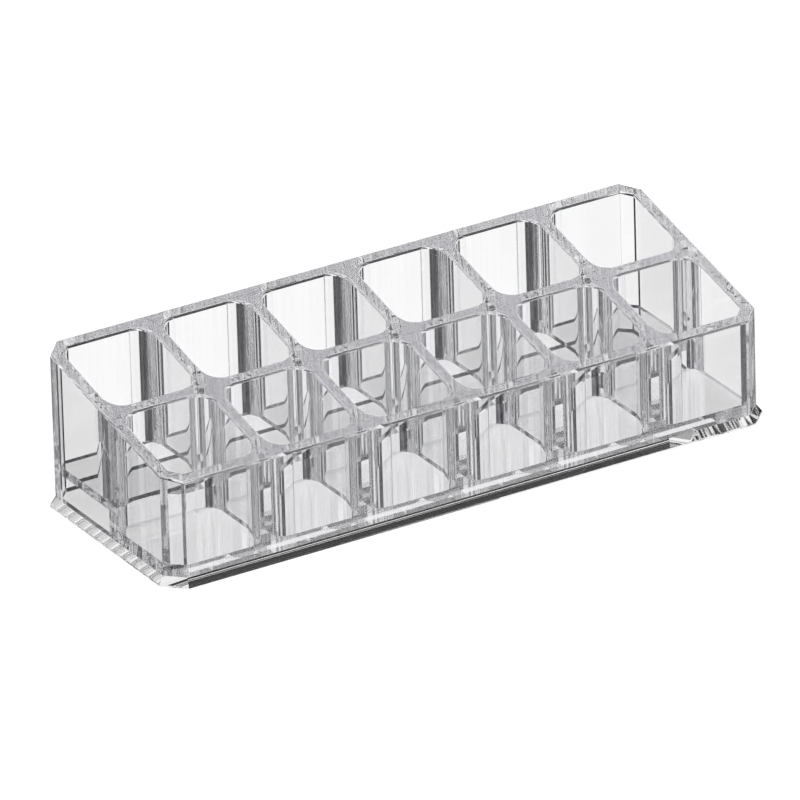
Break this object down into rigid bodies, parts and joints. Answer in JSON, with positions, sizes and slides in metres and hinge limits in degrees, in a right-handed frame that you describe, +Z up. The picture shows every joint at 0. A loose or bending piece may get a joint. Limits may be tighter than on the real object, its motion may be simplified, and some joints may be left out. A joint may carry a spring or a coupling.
{
  "type": "vanity organizer",
  "caption": "Clear free-standing organizer with open upright cells in stepped rows under one slanting rim, on a bevelled foot, for lipsticks and small cosmetics.",
  "frame": {"origin": "middle of the underside, on the surface it stands on", "axes": "+X along the rows to the right as seen from the front, +Y from the front to the rear, +Z up"},
  "size_m": [0.2216, 0.0816, 0.054],
  "materials": {
    "clear_acrylic": "clear, colourless, polished on faces and edges"
  },
  "bodies": {
    "root": {"base_plate": "clear_acrylic", "front_wall": "clear_acrylic", "front_right_corner": "clear_acrylic", "right_wall": "clear_acrylic", "rear_right_corner": "clear_acrylic", "rear_wall": "clear_acrylic", "rear_left_corner": "clear_acrylic", "left_wall": "clear_acrylic", "front_left_corner": "clear_acrylic", "front_floor": "clear_acrylic", "rear_floor": "clear_acrylic", "row_divider": "clear_acrylic", "front_divider_1": "clear_acrylic", "front_divider_2": "clear_acrylic", "front_divider_3": "clear_acrylic", "front_divider_4": "clear_acrylic", "front_divider_5": "clear_acrylic", "rear_divider_1": "clear_acrylic", "rear_divider_2": "clear_acrylic", "rear_divider_3": "clear_acrylic", "rear_divider_4": "clear_acrylic", "rear_divider_5": "clear_acrylic"}
  },
  "joints": []
}
